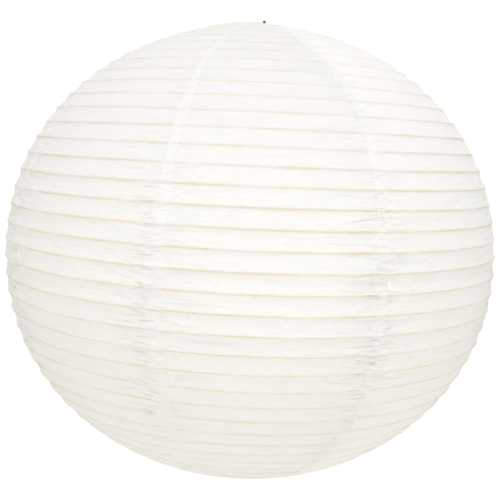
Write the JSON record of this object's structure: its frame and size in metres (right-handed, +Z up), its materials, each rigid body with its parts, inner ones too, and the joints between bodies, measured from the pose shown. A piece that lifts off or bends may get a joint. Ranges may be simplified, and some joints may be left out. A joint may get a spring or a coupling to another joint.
{
  "type": "paper lantern",
  "caption": "Round hanging shade of white rice paper gores over bamboo hoops, between wire rings on a black steel frame with a lampholder plate; it folds flat.",
  "frame": {"origin": "centre of the lampholder hole, half way through the holder plate", "axes": "+Z up along the axis of the globe and of the lampholder hole; -Y is the front, where one hook of the top ring shows; +X is to the right"},
  "size_m": [0.5, 0.5, 0.463],
  "materials": {
    "rice_paper": "matte",
    "bamboo": "matte",
    "ring_wire": "satin",
    "black_steel": "satin"
  },
  "bodies": {
    "frame": {"holder_plate": "black_steel", "arm_front": "black_steel", "arm_back": "black_steel", "top_ring": "ring_wire", "top_collar_right": "rice_paper", "top_collar_left": "rice_paper", "gore_1": "rice_paper", "gore_2": "rice_paper", "gore_3": "rice_paper", "gore_4": "rice_paper", "gore_5": "rice_paper", "gore_6": "rice_paper", "gore_7": "rice_paper", "gore_8": "rice_paper"},
    "stretcher": {"leg_right": "black_steel", "leg_left": "black_steel", "bottom_ring": "ring_wire", "bottom_collar_front": "rice_paper", "bottom_collar_back": "rice_paper"},
    "hoop_01": {"hoop_01": "bamboo"},
    "hoop_02": {"hoop_02": "bamboo"},
    "hoop_03": {"hoop_03": "bamboo"},
    "hoop_04": {"hoop_04": "bamboo"},
    "hoop_05": {"hoop_05": "bamboo"},
    "hoop_06": {"hoop_06": "bamboo"},
    "hoop_07": {"hoop_07": "bamboo"},
    "hoop_08": {"hoop_08": "bamboo"},
    "hoop_09": {"hoop_09": "bamboo"},
    "hoop_10": {"hoop_10": "bamboo"},
    "hoop_11": {"hoop_11": "bamboo"},
    "hoop_12": {"hoop_12": "bamboo"},
    "hoop_13": {"hoop_13": "bamboo"},
    "hoop_14": {"hoop_14": "bamboo"},
    "hoop_15": {"hoop_15": "bamboo"},
    "hoop_16": {"hoop_16": "bamboo"},
    "hoop_17": {"hoop_17": "bamboo"},
    "hoop_18": {"hoop_18": "bamboo"},
    "hoop_19": {"hoop_19": "bamboo"},
    "hoop_20": {"hoop_20": "bamboo"},
    "hoop_21": {"hoop_21": "bamboo"},
    "hoop_22": {"hoop_22": "bamboo"},
    "hoop_23": {"hoop_23": "bamboo"},
    "hoop_24": {"hoop_24": "bamboo"},
    "hoop_25": {"hoop_25": "bamboo"},
    "hoop_26": {"hoop_26": "bamboo"},
    "hoop_27": {"hoop_27": "bamboo"},
    "hoop_28": {"hoop_28": "bamboo"},
    "hoop_29": {"hoop_29": "bamboo"},
    "hoop_30": {"hoop_30": "bamboo"},
    "hoop_31": {"hoop_31": "bamboo"},
    "hoop_32": {"hoop_32": "bamboo"},
    "hoop_33": {"hoop_33": "bamboo"},
    "hoop_34": {"hoop_34": "bamboo"},
    "hoop_35": {"hoop_35": "bamboo"},
    "hoop_36": {"hoop_36": "bamboo"},
    "hoop_37": {"hoop_37": "bamboo"},
    "hoop_38": {"hoop_38": "bamboo"}
  },
  "joints": [
    {"name": "shade_fold", "type": "slide", "parent": "frame", "child": "stretcher", "axis": [0, 0, 1], "range_m": [0, 0.4043], "deforming": ["gore_1", "gore_2", "gore_3", "gore_4", "gore_5", "gore_6", "gore_7", "gore_8"]},
    {"name": "hoop_01_rise", "type": "slide", "parent": "frame", "child": "hoop_01", "axis": [0, 0, 1], "range_m": [0, 0.4005]},
    {"name": "hoop_02_rise", "type": "slide", "parent": "frame", "child": "hoop_02", "axis": [0, 0, 1], "range_m": [0, 0.3968]},
    {"name": "hoop_03_rise", "type": "slide", "parent": "frame", "child": "hoop_03", "axis": [0, 0, 1], "range_m": [0, 0.3921]},
    {"name": "hoop_04_rise", "type": "slide", "parent": "frame", "child": "hoop_04", "axis": [0, 0, 1], "range_m": [0, 0.3866]},
    {"name": "hoop_05_rise", "type": "slide", "parent": "frame", "child": "hoop_05", "axis": [0, 0, 1], "range_m": [0, 0.38]},
    {"name": "hoop_06_rise", "type": "slide", "parent": "frame", "child": "hoop_06", "axis": [0, 0, 1], "range_m": [0, 0.3726]},
    {"name": "hoop_07_rise", "type": "slide", "parent": "frame", "child": "hoop_07", "axis": [0, 0, 1], "range_m": [0, 0.3642]},
    {"name": "hoop_08_rise", "type": "slide", "parent": "frame", "child": "hoop_08", "axis": [0, 0, 1], "range_m": [0, 0.3549]},
    {"name": "hoop_09_rise", "type": "slide", "parent": "frame", "child": "hoop_09", "axis": [0, 0, 1], "range_m": [0, 0.3448]},
    {"name": "hoop_10_rise", "type": "slide", "parent": "frame", "child": "hoop_10", "axis": [0, 0, 1], "range_m": [0, 0.3338]},
    {"name": "hoop_11_rise", "type": "slide", "parent": "frame", "child": "hoop_11", "axis": [0, 0, 1], "range_m": [0, 0.3222]},
    {"name": "hoop_12_rise", "type": "slide", "parent": "frame", "child": "hoop_12", "axis": [0, 0, 1], "range_m": [0, 0.3097]},
    {"name": "hoop_13_rise", "type": "slide", "parent": "frame", "child": "hoop_13", "axis": [0, 0, 1], "range_m": [0, 0.2966]},
    {"name": "hoop_14_rise", "type": "slide", "parent": "frame", "child": "hoop_14", "axis": [0, 0, 1], "range_m": [0, 0.2828]},
    {"name": "hoop_15_rise", "type": "slide", "parent": "frame", "child": "hoop_15", "axis": [0, 0, 1], "range_m": [0, 0.2687]},
    {"name": "hoop_16_rise", "type": "slide", "parent": "frame", "child": "hoop_16", "axis": [0, 0, 1], "range_m": [0, 0.2539]},
    {"name": "hoop_17_rise", "type": "slide", "parent": "frame", "child": "hoop_17", "axis": [0, 0, 1], "range_m": [0, 0.2391]},
    {"name": "hoop_18_rise", "type": "slide", "parent": "frame", "child": "hoop_18", "axis": [0, 0, 1], "range_m": [0, 0.2238]},
    {"name": "hoop_19_rise", "type": "slide", "parent": "frame", "child": "hoop_19", "axis": [0, 0, 1], "range_m": [0, 0.2084]},
    {"name": "hoop_20_rise", "type": "slide", "parent": "frame", "child": "hoop_20", "axis": [0, 0, 1], "range_m": [0, 0.1932]},
    {"name": "hoop_21_rise", "type": "slide", "parent": "frame", "child": "hoop_21", "axis": [0, 0, 1], "range_m": [0, 0.1779]},
    {"name": "hoop_22_rise", "type": "slide", "parent": "frame", "child": "hoop_22", "axis": [0, 0, 1], "range_m": [0, 0.1628]},
    {"name": "hoop_23_rise", "type": "slide", "parent": "frame", "child": "hoop_23", "axis": [0, 0, 1], "range_m": [0, 0.1478]},
    {"name": "hoop_24_rise", "type": "slide", "parent": "frame", "child": "hoop_24", "axis": [0, 0, 1], "range_m": [0, 0.1332]},
    {"name": "hoop_25_rise", "type": "slide", "parent": "frame", "child": "hoop_25", "axis": [0, 0, 1], "range_m": [0, 0.1191]},
    {"name": "hoop_26_rise", "type": "slide", "parent": "frame", "child": "hoop_26", "axis": [0, 0, 1], "range_m": [0, 0.1055]},
    {"name": "hoop_27_rise", "type": "slide", "parent": "frame", "child": "hoop_27", "axis": [0, 0, 1], "range_m": [0, 0.0925]},
    {"name": "hoop_28_rise", "type": "slide", "parent": "frame", "child": "hoop_28", "axis": [0, 0, 1], "range_m": [0, 0.0802]},
    {"name": "hoop_29_rise", "type": "slide", "parent": "frame", "child": "hoop_29", "axis": [0, 0, 1], "range_m": [0, 0.0685]},
    {"name": "hoop_30_rise", "type": "slide", "parent": "frame", "child": "hoop_30", "axis": [0, 0, 1], "range_m": [0, 0.0578]},
    {"name": "hoop_31_rise", "type": "slide", "parent": "frame", "child": "hoop_31", "axis": [0, 0, 1], "range_m": [0, 0.0478]},
    {"name": "hoop_32_rise", "type": "slide", "parent": "frame", "child": "hoop_32", "axis": [0, 0, 1], "range_m": [0, 0.0388]},
    {"name": "hoop_33_rise", "type": "slide", "parent": "frame", "child": "hoop_33", "axis": [0, 0, 1], "range_m": [0, 0.0307]},
    {"name": "hoop_34_rise", "type": "slide", "parent": "frame", "child": "hoop_34", "axis": [0, 0, 1], "range_m": [0, 0.0234]},
    {"name": "hoop_35_rise", "type": "slide", "parent": "frame", "child": "hoop_35", "axis": [0, 0, 1], "range_m": [0, 0.0171]},
    {"name": "hoop_36_rise", "type": "slide", "parent": "frame", "child": "hoop_36", "axis": [0, 0, 1], "range_m": [0, 0.0118]},
    {"name": "hoop_37_rise", "type": "slide", "parent": "frame", "child": "hoop_37", "axis": [0, 0, 1], "range_m": [0, 0.0074]},
    {"name": "hoop_38_rise", "type": "slide", "parent": "frame", "child": "hoop_38", "axis": [0, 0, 1], "range_m": [0, 0.0039]}
  ],
  "couplings": [
    {"joint": "hoop_01_rise", "follows": "shade_fold", "ratio": 0.99025},
    {"joint": "hoop_02_rise", "follows": "shade_fold", "ratio": 0.98103},
    {"joint": "hoop_03_rise", "follows": "shade_fold", "ratio": 0.96951},
    {"joint": "hoop_04_rise", "follows": "shade_fold", "ratio": 0.95574},
    {"joint": "hoop_05_rise", "follows": "shade_fold", "ratio": 0.93945},
    {"joint": "hoop_06_rise", "follows": "shade_fold", "ratio": 0.92116},
    {"joint": "hoop_07_rise", "follows": "shade_fold", "ratio": 0.90038},
    {"joint": "hoop_08_rise", "follows": "shade_fold", "ratio": 0.87755},
    {"joint": "hoop_09_rise", "follows": "shade_fold", "ratio": 0.85253},
    {"joint": "hoop_10_rise", "follows": "shade_fold", "ratio": 0.82537},
    {"joint": "hoop_11_rise", "follows": "shade_fold", "ratio": 0.79645},
    {"joint": "hoop_12_rise", "follows": "shade_fold", "ratio": 0.76559},
    {"joint": "hoop_13_rise", "follows": "shade_fold", "ratio": 0.73322},
    {"joint": "hoop_14_rise", "follows": "shade_fold", "ratio": 0.69914},
    {"joint": "hoop_15_rise", "follows": "shade_fold", "ratio": 0.66414},
    {"joint": "hoop_16_rise", "follows": "shade_fold", "ratio": 0.62769},
    {"joint": "hoop_17_rise", "follows": "shade_fold", "ratio": 0.59093},
    {"joint": "hoop_18_rise", "follows": "shade_fold", "ratio": 0.55318},
    {"joint": "hoop_19_rise", "follows": "shade_fold", "ratio": 0.51518},
    {"joint": "hoop_20_rise", "follows": "shade_fold", "ratio": 0.4774},
    {"joint": "hoop_21_rise", "follows": "shade_fold", "ratio": 0.4396},
    {"joint": "hoop_22_rise", "follows": "shade_fold", "ratio": 0.40233},
    {"joint": "hoop_23_rise", "follows": "shade_fold", "ratio": 0.3653},
    {"joint": "hoop_24_rise", "follows": "shade_fold", "ratio": 0.32921},
    {"joint": "hoop_25_rise", "follows": "shade_fold", "ratio": 0.29412},
    {"joint": "hoop_26_rise", "follows": "shade_fold", "ratio": 0.26047},
    {"joint": "hoop_27_rise", "follows": "shade_fold", "ratio": 0.22835},
    {"joint": "hoop_28_rise", "follows": "shade_fold", "ratio": 0.19788},
    {"joint": "hoop_29_rise", "follows": "shade_fold", "ratio": 0.16917},
    {"joint": "hoop_30_rise", "follows": "shade_fold", "ratio": 0.14258},
    {"joint": "hoop_31_rise", "follows": "shade_fold", "ratio": 0.11794},
    {"joint": "hoop_32_rise", "follows": "shade_fold", "ratio": 0.095566},
    {"joint": "hoop_33_rise", "follows": "shade_fold", "ratio": 0.07548},
    {"joint": "hoop_34_rise", "follows": "shade_fold", "ratio": 0.057543},
    {"joint": "hoop_35_rise", "follows": "shade_fold", "ratio": 0.041974},
    {"joint": "hoop_36_rise", "follows": "shade_fold", "ratio": 0.028772},
    {"joint": "hoop_37_rise", "follows": "shade_fold", "ratio": 0.017827},
    {"joint": "hoop_38_rise", "follows": "shade_fold", "ratio": 0.009183}
  ]
}
